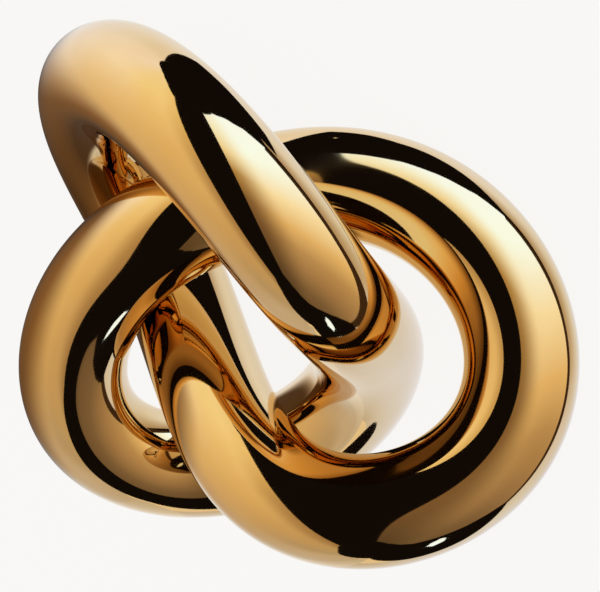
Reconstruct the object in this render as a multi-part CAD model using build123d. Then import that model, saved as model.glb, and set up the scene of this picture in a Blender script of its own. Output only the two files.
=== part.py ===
# A polished tube knot: a trefoil of bent brass tube, joined over inner sleeves, on three low pads.
from build123d import *
import math
import os

# Tube stock and the clearance between passing strands, in millimetres.
tube_od = 40.0
tube_wall = 1.5
strand_gap = 1.0

# Centreline of the knot, in strand pitches. A pitch is the closest spacing of two passing strands.
# The line runs twice round the upright axis on an oval ring, and swings in and out three times.
ring_wide = 1.493
ring_deep = 1.658
swing_out = 0.700
swing_along = 0.352
swing_twice = 0.063
# It rises and falls three times, with slower and quicker leans, to two sides, that make the lobes unequal.
rise = 0.766
lean_once = -0.144
lean_once_side = -0.030
lean_twice = 0.349
lean_twice_side = -0.207
lean_four_times = 0.148
lean_four_times_side = 0.091
lean_seven_times = -0.048

# Tube lengths, and the sleeves inside their seams.
section_count = 12
arc_pairs = 2
sleeve_length = 18.0
sleeve_wall = 2.0
sleeve_clearance = 0.1

# Pads under the three lowest points.
pad_diameter = 11.0
pad_thickness = 1.0
pad_edge_radius = 0.3
pad_bond = 0.1

tube_radius = tube_od / 2
bore_radius = tube_radius - tube_wall
sleeve_radius = bore_radius - sleeve_clearance
lobe_count = 3

# Fineness of the measuring points along the line, as counts and as shares of its whole length.
samples = 240
arc_samples = 40
tangent_step = 0.001
neighbour_share = 1 / 9
level_passes = 4


def drawn_point(turn):
    """Point of the centreline, in pitches, at a share of its whole length from 0 to 1."""
    t = 2 * math.pi * turn
    out = swing_out * math.cos(3 * t) + swing_twice * math.cos(6 * t)
    along = -swing_along * math.sin(3 * t) - swing_twice * math.sin(6 * t)
    x = (ring_wide + out) * math.cos(2 * t) - along * math.sin(2 * t)
    y = (ring_deep + out) * math.sin(2 * t) + along * math.cos(2 * t)
    z = -rise * math.sin(3 * t)
    z += lean_once * math.cos(t) + lean_once_side * math.sin(t)
    z += lean_twice * math.sin(2 * t) + lean_twice_side * math.cos(2 * t)
    z += lean_four_times * math.sin(4 * t) + lean_four_times_side * math.cos(4 * t)
    z += lean_seven_times * math.sin(7 * t)
    return Vector(x, y, z)


def closest_spacing():
    """Least distance between strands that pass each other, in pitches as drawn."""
    points = [drawn_point(i / samples) for i in range(samples)]
    neighbours = int(samples * neighbour_share)
    least = math.inf
    for i in range(samples):
        for j in range(i + neighbours, min(samples, i + samples - neighbours)):
            least = min(least, (points[i] - points[j]).length)
    return least


pitch = (tube_od + strand_gap) / closest_spacing()


def knot_point(turn):
    return drawn_point(turn) * pitch


def level_plane():
    """Plane through the lowest point of each lobe, found again as the knot is levelled."""
    plane = Plane.XY
    for _ in range(level_passes):
        feet = []
        for lobe in range(lobe_count):
            turns = [(lobe + i / samples) / lobe_count for i in range(samples)]
            feet.append(min((knot_point(turn) for turn in turns), key=lambda p: plane.to_local_coords(p).Z))
        normal = (feet[1] - feet[0]).cross(feet[2] - feet[0])
        if normal.Z < 0:
            normal = -normal
        plane = Plane(origin=feet[0], x_dir=Vector(0, 1, 0).cross(normal), z_dir=normal)
    return plane


level = level_plane()


def level_point(turn):
    return level.to_local_coords(knot_point(turn))


def level_tangent(turn):
    return (level_point(turn + tangent_step) - level_point(turn - tangent_step)).normalized()


def two_arcs(start, start_way, end, end_way):
    """Two arcs, tangent to each other, that leave start along start_way and reach end along end_way."""
    span = end - start
    ways = start_way + end_way
    turn_share = 2 * (1 - start_way.dot(end_way))
    reach = (math.sqrt(span.dot(ways) ** 2 + turn_share * span.dot(span)) - span.dot(ways)) / turn_share
    meeting = (start + end + (start_way - end_way) * reach) / 2
    meeting_way = (end - end_way * reach) - (start + start_way * reach)
    first = TangentArc(start, meeting, tangent=start_way)
    second = TangentArc(meeting, end, tangent=meeting_way)
    return first, second


def knot_arcs():
    """All arcs of the levelled centreline, in pairs, with the seams half a tube length from the feet."""
    count = section_count * arc_pairs
    stations = [(i / arc_pairs + 0.5) / section_count for i in range(count + 1)]
    arcs = []
    for a, b in zip(stations, stations[1:]):
        arcs.extend(two_arcs(level_point(a), level_tangent(a), level_point(b), level_tangent(b)))
    points = [arc @ (i / arc_samples) for arc in arcs for i in range(arc_samples + 1)]
    low = [min(p.X for p in points), min(p.Y for p in points), min(p.Z for p in points)]
    high = [max(p.X for p in points), max(p.Y for p in points)]
    centre = Vector(-(low[0] + high[0]) / 2, -(low[1] + high[1]) / 2, tube_radius + pad_thickness - low[2])
    return [arc.moved(Location(centre)) for arc in arcs]


def bend(arc, outer, inner):
    """Round tube bent along one arc."""
    centre = arc.arc_center
    spoke = arc @ 0 - centre
    section = Plane(origin=arc @ 0, x_dir=spoke, z_dir=arc % 0) * (Circle(outer) - Circle(inner))
    pivot = Axis(centre, spoke.cross(arc % 0))
    return revolve(section, axis=pivot, revolution_arc=math.degrees(arc.length / arc.radius))


def section_arcs(arcs, index):
    """Arcs of one tube length."""
    count = 2 * arc_pairs
    return arcs[count * index:count * index + count]


def tube_section(arcs, index):
    """Tube length with tangent bends."""
    bends = [bend(arc, tube_radius, bore_radius) for arc in section_arcs(arcs, index)]
    return bends[0].fuse(*bends[1:])


def joint_sleeve(arcs, index):
    """Sleeve centred on the seam at the end of a tube length."""
    before = section_arcs(arcs, index)[-1]
    after = section_arcs(arcs, (index + 1) % section_count)[0]
    half = sleeve_length / 2
    inner = sleeve_radius - sleeve_wall
    near = bend(before.trim(1 - half / before.length, 1), sleeve_radius, inner)
    far = bend(after.trim(0, half / after.length), sleeve_radius, inner)
    return near + far


def rest_pad(arcs, index):
    """Round pad under the lowest point of a tube length, hollowed to the tube that it carries."""
    spots = [(arc, i / samples) for arc in section_arcs(arcs, index) for i in range(samples + 1)]
    arc, share = min(spots, key=lambda spot: (spot[0] @ spot[1]).Z)
    foot = arc @ share
    disc = extrude(Circle(pad_diameter / 2), tube_radius)
    disc = fillet(disc.edges().group_by(Axis.Z)[0], pad_edge_radius)
    bed_length = 2 * pad_diameter
    bed = Plane(origin=foot, z_dir=arc % share) * Cylinder(tube_radius + pad_bond, bed_length)
    return Pos(foot.X, foot.Y, 0) * disc - bed


os.makedirs("parts", exist_ok=True)
centreline = knot_arcs()
for i in range(section_count):
    export_step(tube_section(centreline, i), f"parts/tube_section_{i + 1:02d}.step")
    export_step(joint_sleeve(centreline, i), f"parts/joint_sleeve_{i + 1:02d}.step")
for lobe in range(lobe_count):
    footing = lobe * section_count // lobe_count
    export_step(rest_pad(centreline, footing), f"parts/rest_pad_{lobe + 1}.step")

print("arc radii", [round(arc.radius, 1) for arc in centreline])
print("centreline length", round(sum(arc.length for arc in centreline), 1))
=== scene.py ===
# A polished tube knot in a studio: mirror tube, two soft boxes, a dark surround and a pale floor.
import math
import bpy
import numpy as np
from mathutils import Matrix, Vector


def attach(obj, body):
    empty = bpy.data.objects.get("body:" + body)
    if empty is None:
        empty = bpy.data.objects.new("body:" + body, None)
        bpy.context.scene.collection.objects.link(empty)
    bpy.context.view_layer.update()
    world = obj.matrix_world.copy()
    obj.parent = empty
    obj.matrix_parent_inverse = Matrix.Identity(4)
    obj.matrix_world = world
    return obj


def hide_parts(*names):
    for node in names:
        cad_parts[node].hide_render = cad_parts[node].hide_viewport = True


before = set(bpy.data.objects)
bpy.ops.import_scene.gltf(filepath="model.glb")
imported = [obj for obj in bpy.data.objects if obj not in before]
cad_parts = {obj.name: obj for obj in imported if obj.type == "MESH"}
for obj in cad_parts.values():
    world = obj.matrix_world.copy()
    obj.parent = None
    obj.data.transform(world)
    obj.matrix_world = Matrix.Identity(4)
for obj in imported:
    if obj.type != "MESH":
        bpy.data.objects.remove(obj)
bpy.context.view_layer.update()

# Tube stock and its centreline, as in the part's source.
# Lengths are in metres, shape values in strand pitches and angles in degrees.
tube_radius = 0.020
tube_wall = 0.0015
strand_gap = 0.001
pad_thickness = 0.001
ring_wide = 1.493
ring_deep = 1.658
swing_out = 0.700
swing_along = 0.352
swing_twice = 0.063
rise = 0.766
lean_once = -0.144
lean_once_side = -0.030
lean_twice = 0.349
lean_twice_side = -0.207
lean_four_times = 0.148
lean_four_times_side = 0.091
lean_seven_times = -0.048
section_count = 12
lobe_count = 3

# Fineness of the tube meshes, and of the line that they are measured on.
rings_per_section = 60
tube_sides = 112
line_steps = 8
line_samples = section_count * rings_per_section * line_steps
spacing_samples = 240
neighbour_share = 1 / 9
level_passes = 4

# Fineness of the studio's cards and of the floor's rim.
card_columns = 64
card_rows = 48
floor_sides = 96

# The photograph's viewpoint, about the point in the middle of the picture.
view_aim = Vector((-0.02163, 0.00828, 0.04146))
view_distance = 0.85537
view_azimuth = 172.397
view_elevation = 50.554
view_roll = 131.979
view_lens = 143.388
sensor_width = 36.0

# Surroundings. Cards stand on spheres round the room's centre, the nearer ones in front of the others.
room_centre = Vector((0.0, 0.0, 0.055))
paper_distance = 11.0
flag_distance = 9.5
panel_distance = 8.0
trim_distance = 7.6
glint_distance = 7.2
card_strength = 1.12
floor_radius = 8.0
backdrop_colour = (1.0, 0.992, 0.975, 1.0)

# Two small cards close to the knot, placed to the camera's right, up and back from the room's centre.
veil_place = (-0.078, 0.030, -0.066)
veil_facing = -114.0
veil_size = (0.230, 0.240)
hood_edge = (
    (-0.040, 0.285, 0.040),
    (-0.010, 0.272, -0.012),
    (0.033, 0.212, -0.080),
    (0.065, 0.203, -0.065),
    (0.120, 0.195, -0.022),
    (0.158, 0.200, 0.040),
)
hood_height = 0.300

# Outlines of the dark flags above and below, by angles across from the camera to its right, and upward.
top_flag_edge = [
    (-180, 77), (-150, 78), (-120, 78), (-90, 77), (-70, 74), (-55, 68), (-43, 57), (-30, 58), (-4, 61),
    (20, 67), (50, 67), (80, 60), (98, 47), (112, 52), (130, 54), (150, 56), (165, 62), (174, 72), (180, 80),
]
bottom_flag_edge = [
    (-180, -78), (-150, -79), (-120, -79), (-90, -78), (-70, -76), (-55, -73), (-45, -69), (-36, -64),
    (-20, -60), (-6, -58), (4, -66), (20, -72), (42, -74), (62, -71), (80, -64), (104, -47), (125, -47),
    (150, -46), (161, -52), (170, -66), (180, -78),
]

# Light of the cards, as tones at shares of their height from foot to top.
# Left box, from its edge by the camera to its rear.
left_edge_tones = [
    (0.0, (0.36, 0.28, 0.20)),
    (0.24, (0.44, 0.33, 0.21)),
    (0.37, (0.47, 0.35, 0.22)),
    (0.50, (0.54, 0.42, 0.26)),
    (0.62, (0.74, 0.61, 0.36)),
    (0.77, (0.96, 0.88, 0.60)),
    (1.0, (1.00, 1.02, 0.82)),
]
left_main_tones = [
    (0.0, (0.54, 0.48, 0.40)),
    (0.26, (0.68, 0.56, 0.39)),
    (0.38, (0.78, 0.66, 0.44)),
    (0.50, (0.86, 0.74, 0.50)),
    (0.62, (0.95, 0.86, 0.62)),
    (0.77, (1.04, 1.05, 0.84)),
    (1.0, (1.02, 1.10, 1.15)),
]
left_broad_tones = [
    (0.0, (0.52, 0.49, 0.47)),
    (0.15, (0.55, 0.50, 0.46)),
    (0.26, (0.66, 0.57, 0.45)),
    (0.38, (0.74, 0.63, 0.46)),
    (0.50, (0.85, 0.75, 0.55)),
    (0.62, (0.95, 0.91, 0.85)),
    (0.77, (1.06, 1.16, 1.45)),
    (1.0, (1.02, 1.15, 1.75)),
]
left_middle_tones = [
    (0.0, (0.60, 0.60, 0.66)),
    (0.15, (0.63, 0.63, 0.72)),
    (0.25, (0.60, 0.57, 0.58)),
    (0.37, (0.60, 0.50, 0.42)),
    (0.50, (0.70, 0.62, 0.53)),
    (0.62, (0.90, 0.96, 1.15)),
    (0.75, (0.98, 1.09, 1.43)),
    (1.0, (0.99, 1.10, 1.50)),
]
left_rear_tones = [
    (0.0, (0.58, 0.58, 0.66)),
    (0.15, (0.62, 0.64, 0.76)),
    (0.25, (0.63, 0.69, 0.83)),
    (0.37, (0.70, 0.77, 0.88)),
    (0.50, (0.82, 0.88, 0.95)),
    (0.75, (0.90, 1.02, 1.30)),
    (1.0, (0.93, 1.02, 1.35)),
]
# Right box, from its dim side by the camera.
right_dim_tones = [
    (0.0, (0.09, 0.07, 0.05)),
    (0.25, (0.15, 0.11, 0.08)),
    (0.38, (0.19, 0.13, 0.09)),
    (0.52, (0.25, 0.17, 0.10)),
    (0.66, (0.48, 0.36, 0.18)),
    (0.78, (1.00, 1.10, 1.10)),
    (0.88, (1.06, 1.40, 2.00)),
    (1.0, (1.08, 1.55, 2.80)),
]
right_graded_tones = [
    (0.0, (0.17, 0.13, 0.10)),
    (0.11, (0.23, 0.18, 0.14)),
    (0.25, (0.42, 0.32, 0.23)),
    (0.38, (0.56, 0.45, 0.31)),
    (0.51, (0.88, 0.76, 0.53)),
    (0.66, (1.09, 1.24, 1.42)),
    (0.82, (1.10, 1.70, 3.20)),
    (1.0, (1.10, 1.70, 3.50)),
]
# Paper behind the knot, from the right box's rim to the left box's rear.
near_paper_tones = [
    (0.0, (0.60, 0.65, 0.85)),
    (0.15, (0.75, 0.85, 1.20)),
    (0.30, (0.80, 0.88, 1.35)),
    (0.44, (0.56, 0.50, 0.46)),
    (0.59, (0.46, 0.37, 0.28)),
    (1.0, (0.42, 0.36, 0.32)),
]
side_paper_tones = [
    (0.0, (0.80, 0.95, 1.40)),
    (0.15, (0.78, 0.95, 1.40)),
    (0.30, (0.76, 0.90, 1.25)),
    (0.44, (0.78, 0.90, 1.15)),
    (0.59, (0.80, 0.91, 1.10)),
    (0.74, (0.88, 1.05, 1.50)),
    (1.0, (0.80, 0.88, 1.20)),
]
far_paper_tones = [
    (0.0, (0.62, 0.66, 0.78)),
    (0.15, (0.72, 0.80, 0.98)),
    (0.30, (0.86, 0.95, 1.10)),
    (0.44, (0.82, 0.81, 0.78)),
    (0.59, (0.82, 0.86, 0.88)),
    (0.74, (0.88, 0.98, 1.18)),
    (1.0, (0.90, 1.00, 1.28)),
]
# Cards of one tone.
flag_tone = (0.006, 0.005, 0.006)
rim_tone = (0.05, 0.03, 0.02)
glint_tone = (1.10, 1.69, 3.40)


def knot_line(count):
    """Centreline points, in pitches, evenly spaced in the turn parameter."""
    t = 2 * np.pi * np.arange(count) / count
    out = swing_out * np.cos(3 * t) + swing_twice * np.cos(6 * t)
    along = -swing_along * np.sin(3 * t) - swing_twice * np.sin(6 * t)
    x = (ring_wide + out) * np.cos(2 * t) - along * np.sin(2 * t)
    y = (ring_deep + out) * np.sin(2 * t) + along * np.cos(2 * t)
    z = -rise * np.sin(3 * t)
    z += lean_once * np.cos(t) + lean_once_side * np.sin(t)
    z += lean_twice * np.sin(2 * t) + lean_twice_side * np.cos(2 * t)
    z += lean_four_times * np.sin(4 * t) + lean_four_times_side * np.cos(4 * t)
    z += lean_seven_times * np.sin(7 * t)
    return np.stack([x, y, z], axis=1)


def closest_spacing():
    """Least distance between strands that pass each other, in pitches."""
    points = knot_line(spacing_samples)
    gaps = np.linalg.norm(points[:, None] - points[None], axis=2)
    steps = np.abs(np.arange(spacing_samples)[:, None] - np.arange(spacing_samples)[None])
    apart = np.minimum(steps, spacing_samples - steps) >= int(spacing_samples * neighbour_share)
    return gaps[apart].min()


def level_line():
    """Centreline in metres, turned to stand on the lowest point of each lobe, centred over the origin."""
    line = knot_line(line_samples) * (2 * tube_radius + strand_gap) / closest_spacing()
    turn = np.eye(3)
    third = line_samples // lobe_count
    for _ in range(level_passes):
        height = line @ turn[2]
        feet = [line[k * third + height[k * third:(k + 1) * third].argmin()] for k in range(lobe_count)]
        normal = np.cross(feet[1] - feet[0], feet[2] - feet[0])
        normal *= np.sign(normal[2]) / np.linalg.norm(normal)
        across = np.cross((0.0, 1.0, 0.0), normal)
        across /= np.linalg.norm(across)
        turn = np.stack([across, np.cross(normal, across), normal])
    line = line @ turn.T
    low = line.min(axis=0)
    high = line.max(axis=0)
    middle = (low + high) / 2
    return line - np.array([middle[0], middle[1], low[2] - tube_radius - pad_thickness])


def steady_frames(line):
    """Tangent and two cross directions at each point, carried round and closed by an even slow twist."""
    tangents = np.roll(line, -1, axis=0) - np.roll(line, 1, axis=0)
    tangents /= np.linalg.norm(tangents, axis=1, keepdims=True)
    count = len(line)
    carried = np.cross(tangents[0], (0.0, 0.0, 1.0))
    first = np.empty((count + 1, 3))
    for i in range(count + 1):
        tangent = tangents[i % count]
        carried = carried - tangent * (carried @ tangent)
        carried = carried / np.linalg.norm(carried)
        first[i] = carried
    second = np.cross(tangents, first[:count])
    miss = math.atan2(first[count] @ second[0], first[count] @ first[0])
    twist = -miss * np.arange(count)[:, None] / count
    first = first[:count]
    turned = first * np.cos(twist) + second * np.sin(twist)
    return tangents, turned, np.cross(tangents, turned)


def tube_mesh(name, centres, tangents, first, second):
    """Hollow tube along the centres, with exact normals, so that lengths meet without a visible seam."""
    rings = len(centres)
    angle = 2 * np.pi * np.arange(tube_sides) / tube_sides
    spokes = first[:, None] * np.cos(angle)[None, :, None] + second[:, None] * np.sin(angle)[None, :, None]
    outer = (centres[:, None] + spokes * tube_radius).reshape(-1, 3)
    inner = (centres[:, None] + spokes * (tube_radius - tube_wall)).reshape(-1, 3)
    spokes = spokes.reshape(-1, 3)
    count = rings * tube_sides
    here = np.arange(count).reshape(rings, tube_sides)
    beside = np.roll(here, -1, axis=1)
    skin = np.stack([here[:-1], beside[:-1], beside[1:], here[1:]], axis=2).reshape(-1, 4)
    bore = skin[:, ::-1] + count
    start = np.stack([beside[0], here[0], here[0] + count, beside[0] + count], axis=1)
    end = np.stack([here[-1], beside[-1], beside[-1] + count, here[-1] + count], axis=1)
    faces = np.concatenate([skin, bore, start, end])
    normals = np.concatenate([
        spokes[skin.ravel()],
        -spokes[bore.ravel() - count],
        np.tile(-tangents[0], (start.size, 1)),
        np.tile(tangents[-1], (end.size, 1)),
    ])
    mesh = bpy.data.meshes.new(name)
    mesh.from_pydata(np.concatenate([outer, inner]).tolist(), [], faces.tolist())
    mesh.polygons.foreach_set("use_smooth", np.ones(len(faces), dtype=bool))
    mesh.normals_split_custom_set(normals.tolist())
    mesh.update()
    return mesh


def tube_pieces(material):
    """One mesh for each tube length, in place of its node."""
    line = level_line()
    tangents, first, second = steady_frames(line)
    for k in range(section_count):
        begin = (2 * k + 1) * line_samples // (2 * section_count)
        picks = (begin + line_steps * np.arange(rings_per_section + 1)) % line_samples
        node = f"tube_section_{k + 1:02d}"
        mesh = tube_mesh(f"knot_{node}", line[picks], tangents[picks], first[picks], second[picks])
        mesh.materials.append(material)
        piece = bpy.data.objects.new(f"knot_{node}", mesh)
        bpy.context.collection.objects.link(piece)
        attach(piece, "root")
        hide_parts(node)


def new_material(name):
    """Node material, with its nodes, a link helper and its principled shader."""
    material = bpy.data.materials.new(name)
    material.use_nodes = True
    nodes = material.node_tree.nodes
    return material, nodes, material.node_tree.links.new, nodes["Principled BSDF"]


def polished_material():
    """Mirror-polished gilt brass, with the faint polishing haze and ripple of a hand-finished tube."""
    material, nodes, link, shader = new_material("polished_gilt")
    shader.inputs["Metallic"].default_value = 1.0
    place = nodes.new("ShaderNodeTexCoord")
    haze = nodes.new("ShaderNodeTexNoise")
    haze.inputs["Scale"].default_value = 60.0
    haze.inputs["Detail"].default_value = 4.0
    link(place.outputs["Object"], haze.inputs["Vector"])
    tone = nodes.new("ShaderNodeValToRGB")
    tone.color_ramp.elements[0].position = 0.3
    tone.color_ramp.elements[0].color = (0.760, 0.490, 0.195, 1.0)
    tone.color_ramp.elements[1].position = 0.7
    tone.color_ramp.elements[1].color = (0.776, 0.512, 0.215, 1.0)
    link(haze.outputs["Fac"], tone.inputs["Fac"])
    link(tone.outputs["Color"], shader.inputs["Base Color"])
    gloss = nodes.new("ShaderNodeMapRange")
    gloss.inputs["To Min"].default_value = 0.035
    gloss.inputs["To Max"].default_value = 0.055
    link(haze.outputs["Fac"], gloss.inputs["Value"])
    link(gloss.outputs["Result"], shader.inputs["Roughness"])
    ripple = nodes.new("ShaderNodeTexNoise")
    ripple.inputs["Scale"].default_value = 28.0
    ripple.inputs["Detail"].default_value = 1.0
    link(place.outputs["Object"], ripple.inputs["Vector"])
    bump = nodes.new("ShaderNodeBump")
    bump.inputs["Strength"].default_value = 0.02
    bump.inputs["Distance"].default_value = 0.002
    link(ripple.outputs["Fac"], bump.inputs["Height"])
    link(bump.outputs["Normal"], shader.inputs["Normal"])
    return material


def sleeve_material():
    """Drawn brass of the hidden sleeves, with fine draw lines."""
    material, nodes, link, shader = new_material("drawn_brass")
    shader.inputs["Metallic"].default_value = 1.0
    place = nodes.new("ShaderNodeTexCoord")
    lines = nodes.new("ShaderNodeTexNoise")
    lines.inputs["Scale"].default_value = 900.0
    link(place.outputs["Object"], lines.inputs["Vector"])
    tone = nodes.new("ShaderNodeValToRGB")
    tone.color_ramp.elements[0].color = (0.60, 0.40, 0.14, 1.0)
    tone.color_ramp.elements[1].color = (0.74, 0.53, 0.22, 1.0)
    link(lines.outputs["Fac"], tone.inputs["Fac"])
    link(tone.outputs["Color"], shader.inputs["Base Color"])
    gloss = nodes.new("ShaderNodeMapRange")
    gloss.inputs["To Min"].default_value = 0.25
    gloss.inputs["To Max"].default_value = 0.45
    link(lines.outputs["Fac"], gloss.inputs["Value"])
    link(gloss.outputs["Result"], shader.inputs["Roughness"])
    return material


def pad_material():
    """Dark brown rubber with a fine moulded grain."""
    material, nodes, link, shader = new_material("pad_rubber")
    place = nodes.new("ShaderNodeTexCoord")
    grain = nodes.new("ShaderNodeTexNoise")
    grain.inputs["Scale"].default_value = 1800.0
    grain.inputs["Detail"].default_value = 3.0
    link(place.outputs["Object"], grain.inputs["Vector"])
    tone = nodes.new("ShaderNodeValToRGB")
    tone.color_ramp.elements[0].color = (0.030, 0.022, 0.016, 1.0)
    tone.color_ramp.elements[1].color = (0.060, 0.045, 0.034, 1.0)
    link(grain.outputs["Fac"], tone.inputs["Fac"])
    link(tone.outputs["Color"], shader.inputs["Base Color"])
    shader.inputs["Roughness"].default_value = 0.75
    bump = nodes.new("ShaderNodeBump")
    bump.inputs["Strength"].default_value = 0.3
    bump.inputs["Distance"].default_value = 0.0002
    link(grain.outputs["Fac"], bump.inputs["Height"])
    link(bump.outputs["Normal"], shader.inputs["Normal"])
    return material


def dress_nodes(polished):
    """Materials of the nodes. The tube lengths get that of the meshes in their place."""
    brass = sleeve_material()
    rubber = pad_material()
    finishes = {"tube_section": polished, "joint_sleeve": brass, "rest_pad": rubber}
    for name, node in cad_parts.items():
        kind = name.rsplit("_", 1)[0]
        for slot in node.material_slots:
            slot.material = finishes[kind]


def direction(azimuth, elevation):
    """Unit vector from compass angle, from +X towards +Y, and height angle."""
    level = math.cos(math.radians(elevation))
    return Vector((
        level * math.cos(math.radians(azimuth)),
        level * math.sin(math.radians(azimuth)),
        math.sin(math.radians(elevation)),
    ))


def camera_axes():
    """Right, up and back directions of the photograph's camera."""
    back = direction(view_azimuth, view_elevation)
    level_right = Vector((0.0, 0.0, 1.0)).cross(back).normalized()
    level_up = back.cross(level_right)
    roll = math.radians(view_roll)
    right = level_right * math.cos(roll) - level_up * math.sin(roll)
    return right, back.cross(right), back


def add_camera():
    """The photograph's camera."""
    right, up, back = camera_axes()
    data = bpy.data.cameras.new("photo_view")
    data.lens = view_lens
    data.sensor_fit = "HORIZONTAL"
    data.sensor_width = sensor_width
    camera = bpy.data.objects.new("photo_view", data)
    turn = Matrix((right, up, back)).transposed()
    camera.matrix_world = Matrix.Translation(view_aim + back * view_distance) @ turn.to_4x4()
    bpy.context.collection.objects.link(camera)
    bpy.context.scene.camera = camera


def seen_background(nodes, link):
    """One where a ray from the camera, a reflection or a refraction looks, and zero for other light."""
    path = nodes.new("ShaderNodeLightPath")
    total = path.outputs["Is Camera Ray"]
    for ray in ("Is Glossy Ray", "Is Transmission Ray"):
        larger = nodes.new("ShaderNodeMath")
        larger.operation = "MAXIMUM"
        link(total, larger.inputs[0])
        link(path.outputs[ray], larger.inputs[1])
        total = larger.outputs["Value"]
    return total


def add_floor():
    """Pale floor that shows as the backdrop's colour, with the object's soft shadow on it."""
    mesh = bpy.data.meshes.new("floor")
    turns = [2 * math.pi * i / floor_sides for i in range(floor_sides)]
    rim = [(floor_radius * math.cos(turn), floor_radius * math.sin(turn), 0.0) for turn in turns]
    mesh.from_pydata(rim, [], [list(range(floor_sides))])
    floor = bpy.data.objects.new("floor", mesh)
    bpy.context.collection.objects.link(floor)
    material, nodes, link, shader = new_material("floor_paper")
    shader.inputs["Base Color"].default_value = (0.8, 0.8, 0.79, 1.0)
    shader.inputs["Roughness"].default_value = 1.0
    shader.inputs["Specular IOR Level"].default_value = 0.0
    glow = nodes.new("ShaderNodeEmission")
    glow.inputs["Color"].default_value = backdrop_colour
    share = nodes.new("ShaderNodeMath")
    share.operation = "MULTIPLY"
    share.inputs[1].default_value = 0.9
    link(seen_background(nodes, link), share.inputs[0])
    mix = nodes.new("ShaderNodeMixShader")
    link(share.outputs["Value"], mix.inputs["Fac"])
    link(shader.outputs["BSDF"], mix.inputs[1])
    link(glow.outputs["Emission"], mix.inputs[2])
    link(mix.outputs["Shader"], nodes["Material Output"].inputs["Surface"])
    mesh.materials.append(material)
    floor.visible_glossy = False


def add_world():
    """Pale surround for what looks at it, and an even soft light for the rest."""
    world = bpy.data.worlds.new("studio")
    bpy.context.scene.world = world
    world.use_nodes = True
    nodes = world.node_tree.nodes
    link = world.node_tree.links.new
    soft = nodes["Background"]
    soft.inputs["Color"].default_value = (0.9, 0.88, 0.85, 1.0)
    soft.inputs["Strength"].default_value = 0.6
    shown = nodes.new("ShaderNodeBackground")
    shown.inputs["Color"].default_value = backdrop_colour
    mix = nodes.new("ShaderNodeMixShader")
    link(seen_background(nodes, link), mix.inputs["Fac"])
    link(soft.outputs["Background"], mix.inputs[1])
    link(shown.outputs["Background"], mix.inputs[2])
    link(mix.outputs["Shader"], nodes["World Output"].inputs["Surface"])


def studio_direction(across, upward):
    """Unit vector by angles across, from the camera to its right, and upward in the picture."""
    right, up, back = camera_axes()
    level = math.cos(math.radians(upward))
    return (right * (level * math.sin(math.radians(across)))
            + up * math.sin(math.radians(upward))
            + back * (level * math.cos(math.radians(across))))


def near_place(x, y, z):
    """Point to the camera's right, up and back from the room's centre."""
    right, up, back = camera_axes()
    return room_centre + right * x + up * y + back * z


def outline_angles(outline, share):
    """Angles at a share of the way along an outline of evenly counted points."""
    place = share * (len(outline) - 1)
    first = min(int(place), len(outline) - 2)
    near, far = outline[first], outline[first + 1]
    rest = place - first
    return near[0] + (far[0] - near[0]) * rest, near[1] + (far[1] - near[1]) * rest


def stage_card(name, rows, material):
    """Studio card over rows of points, from foot to top, which shows only in reflections."""
    count = len(rows[0])
    points = [point for row in rows for point in row]
    corners = [(i * count + j, i * count + j + 1, (i + 1) * count + j + 1, (i + 1) * count + j)
               for i in range(len(rows) - 1) for j in range(count - 1)]
    mesh = bpy.data.meshes.new(name)
    mesh.from_pydata(points, [], corners)
    place = mesh.uv_layers.new(name="place")
    for loop, spot in zip(mesh.loops, place.data):
        spot.uv = (loop.vertex_index % count / (count - 1), loop.vertex_index // count / (len(rows) - 1))
    mesh.materials.append(material)
    card = bpy.data.objects.new(name, mesh)
    bpy.context.collection.objects.link(card)
    card.visible_camera = False
    card.visible_diffuse = False
    card.visible_transmission = False
    card.visible_shadow = False
    card.visible_volume_scatter = False


def sky_card(name, lower, upper, distance, material):
    """Card at one distance from the room's centre, between a lower and an upper outline of angles."""
    rows = []
    for i in range(card_rows + 1):
        row = []
        for j in range(card_columns + 1):
            low = outline_angles(lower, j / card_columns)
            high = outline_angles(upper, j / card_columns)
            across = low[0] + (high[0] - low[0]) * i / card_rows
            upward = low[1] + (high[1] - low[1]) * i / card_rows
            row.append(room_centre + studio_direction(across, upward) * distance)
        rows.append(row)
    stage_card(name, rows, material)


def glow_material(name):
    """Node material that only glows, with its nodes, a link helper and the place on its card."""
    material, nodes, link, shader = new_material(name)
    nodes.remove(shader)
    place = nodes.new("ShaderNodeUVMap")
    place.uv_map = "place"
    return material, nodes, link, place.outputs["UV"]


def cloth_material(name, first_tones, second_tones, blend_end=1.0):
    """Glow of a card: tones from foot to top at its first side, which turn into those of its second."""
    material, nodes, link, place = glow_material(name)
    split = nodes.new("ShaderNodeSeparateXYZ")
    link(place, split.inputs["Vector"])
    blend = nodes.new("ShaderNodeMapRange")
    blend.interpolation_type = "SMOOTHSTEP"
    blend.inputs["From Max"].default_value = blend_end
    link(split.outputs["X"], blend.inputs["Value"])
    mix = nodes.new("ShaderNodeMixShader")
    link(blend.outputs["Result"], mix.inputs["Fac"])
    for side, tones in ((1, first_tones), (2, second_tones)):
        ramp = nodes.new("ShaderNodeValToRGB")
        while len(ramp.color_ramp.elements) < len(tones):
            ramp.color_ramp.elements.new(1.0)
        for element, (height, tone) in zip(ramp.color_ramp.elements, tones):
            element.position = height
            element.color = (*tone, 1.0)
        link(split.outputs["Y"], ramp.inputs["Fac"])
        glow = nodes.new("ShaderNodeEmission")
        glow.inputs["Strength"].default_value = card_strength
        link(ramp.outputs["Color"], glow.inputs["Color"])
        link(glow.outputs["Emission"], mix.inputs[side])
    link(mix.outputs["Shader"], nodes["Material Output"].inputs["Surface"])
    return material


def plain_cloth(name, tone):
    """Glow of a card of one tone."""
    tones = [(0.0, tone), (1.0, tone)]
    return cloth_material(name, tones, tones)


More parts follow.
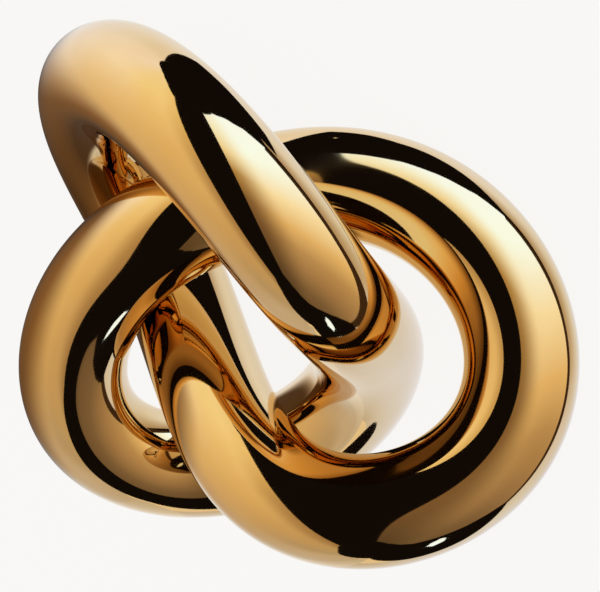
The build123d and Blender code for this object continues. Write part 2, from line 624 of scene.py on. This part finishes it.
def veil_material():
    """Brown glow that fades out from the middle of its card."""
    material, nodes, link, place = glow_material("veil_cloth")
    centred = nodes.new("ShaderNodeVectorMath")
    centred.operation = "SUBTRACT"
    centred.inputs[1].default_value = (0.5, 0.5, 0.0)
    link(place, centred.inputs[0])
    reach = nodes.new("ShaderNodeVectorMath")
    reach.operation = "LENGTH"
    link(centred.outputs["Vector"], reach.inputs[0])
    fade = nodes.new("ShaderNodeMapRange")
    fade.interpolation_type = "SMOOTHSTEP"
    fade.inputs["From Min"].default_value = 0.26
    fade.inputs["From Max"].default_value = 0.5
    fade.inputs["To Min"].default_value = 0.97
    fade.inputs["To Max"].default_value = 0.0
    link(reach.outputs["Value"], fade.inputs["Value"])
    split = nodes.new("ShaderNodeSeparateXYZ")
    link(place, split.inputs["Vector"])
    tone = nodes.new("ShaderNodeValToRGB")
    tone.color_ramp.elements[0].position = 0.55
    tone.color_ramp.elements[0].color = (0.07, 0.036, 0.016, 1.0)
    tone.color_ramp.elements[1].position = 0.78
    tone.color_ramp.elements[1].color = (0.27, 0.155, 0.075, 1.0)
    link(split.outputs["X"], tone.inputs["Fac"])
    glow = nodes.new("ShaderNodeEmission")
    link(tone.outputs["Color"], glow.inputs["Color"])
    clear = nodes.new("ShaderNodeBsdfTransparent")
    mix = nodes.new("ShaderNodeMixShader")
    link(fade.outputs["Result"], mix.inputs["Fac"])
    link(clear.outputs["BSDF"], mix.inputs[1])
    link(glow.outputs["Emission"], mix.inputs[2])
    link(mix.outputs["Shader"], nodes["Material Output"].inputs["Surface"])
    return material


def add_flags(black):
    """Dark flags in front of the knot, above it and below it."""
    sky_card("front_flag", [(-70, -89), (104, -89)], [(-70, 89), (104, 89)], flag_distance, black)
    sky_card("top_flag", top_flag_edge, [(-180, 90), (180, 90)], trim_distance, black)
    sky_card("bottom_flag", [(-180, -90), (180, -90)], bottom_flag_edge, trim_distance, black)


def add_left_box():
    """Large warm box on the left, in four cards from its edge by the camera to its rear."""
    edge = cloth_material("left_box_edge_cloth", left_edge_tones, left_main_tones, blend_end=0.75)
    broad = cloth_material("left_box_cloth", left_main_tones, left_broad_tones)
    middle = cloth_material("left_box_middle_cloth", left_broad_tones, left_middle_tones)
    rear = cloth_material("left_box_rear_cloth", left_middle_tones, left_rear_tones)
    sky_card("left_box_edge", [(-36, -84), (-66, -84)], [(-44, 84), (-66, 84)], panel_distance, edge)
    sky_card("left_box", [(-66, -84), (-100, -84)], [(-66, 84), (-100, 84)], panel_distance, broad)
    sky_card("left_box_middle", [(-100, -84), (-140, -84)], [(-100, 84), (-140, 84)], panel_distance, middle)
    sky_card("left_box_rear", [(-140, -84), (-164, -84)], [(-140, 84), (-164, 84)], panel_distance, rear)


def add_right_box():
    """Graded box on the right, with a dark rim."""
    cloth = cloth_material("right_box_cloth", right_dim_tones, right_graded_tones, blend_end=0.42)
    lower = [(-6, -76), (50, -76), (106, -76)]
    upper = [(-4, 70), (45, 70), (92, 70)]
    sky_card("right_box", lower, upper, panel_distance, cloth)
    rim = plain_cloth("rim_cloth", rim_tone)
    near_side = [(102, -50), (99, -20), (98, 0), (95, 20), (89, 50)]
    far_side = [(109, -50), (108, -20), (106, 0), (103, 20), (96, 50)]
    sky_card("right_box_rim", near_side, far_side, trim_distance, rim)


def add_paper():
    """White paper behind the knot, in three cards."""
    near = cloth_material("paper_near_cloth", near_paper_tones, side_paper_tones)
    side = cloth_material("paper_side_cloth", side_paper_tones, far_paper_tones)
    far = cloth_material("paper_far_cloth", far_paper_tones, left_rear_tones)
    sky_card("paper_near", [(96, -60), (140, -60)], [(96, 75), (140, 75)], paper_distance, near)
    sky_card("paper_side", [(140, -60), (183, -60)], [(140, 75), (183, 75)], paper_distance, side)
    sky_card("paper_far", [(183, -76), (208, -76)], [(183, 80), (208, 80)], paper_distance, far)


def add_glint():
    """Small bright card low on the right, in front of the dark flag."""
    lower = [(84, -70), (94, -73), (112, -73), (123, -69)]
    upper = [(84, -70), (94, -68.5), (112, -67.5), (123, -69)]
    sky_card("glint", lower, upper, glint_distance, plain_cloth("glint_cloth", glint_tone))


def add_veil():
    """Small brown card close to the left lobe."""
    middle = near_place(*veil_place)
    half_width = studio_direction(veil_facing + 90.0, 0.0) * (veil_size[0] / 2)
    half_height = studio_direction(0.0, 90.0) * (veil_size[1] / 2)
    foot = [middle - half_width - half_height, middle + half_width - half_height]
    top = [middle - half_width + half_height, middle + half_width + half_height]
    stage_card("veil", [foot, top], veil_material())


def add_hood(black):
    """Small dark card above and behind the upper lobe."""
    foot = [near_place(x, y, z) for x, y, z in hood_edge]
    top = [near_place(x, y + hood_height, z) for x, y, z in hood_edge]
    stage_card("hood", [foot, top], black)


def add_studio():
    """All that the knot mirrors."""
    black = plain_cloth("flag_cloth", flag_tone)
    add_flags(black)
    add_left_box()
    add_right_box()
    add_paper()
    add_glint()
    add_veil()
    add_hood(black)


polished = polished_material()
tube_pieces(polished)
dress_nodes(polished)
add_camera()
add_floor()
add_world()
add_studio()
bpy.context.scene.view_settings.view_transform = "Standard"
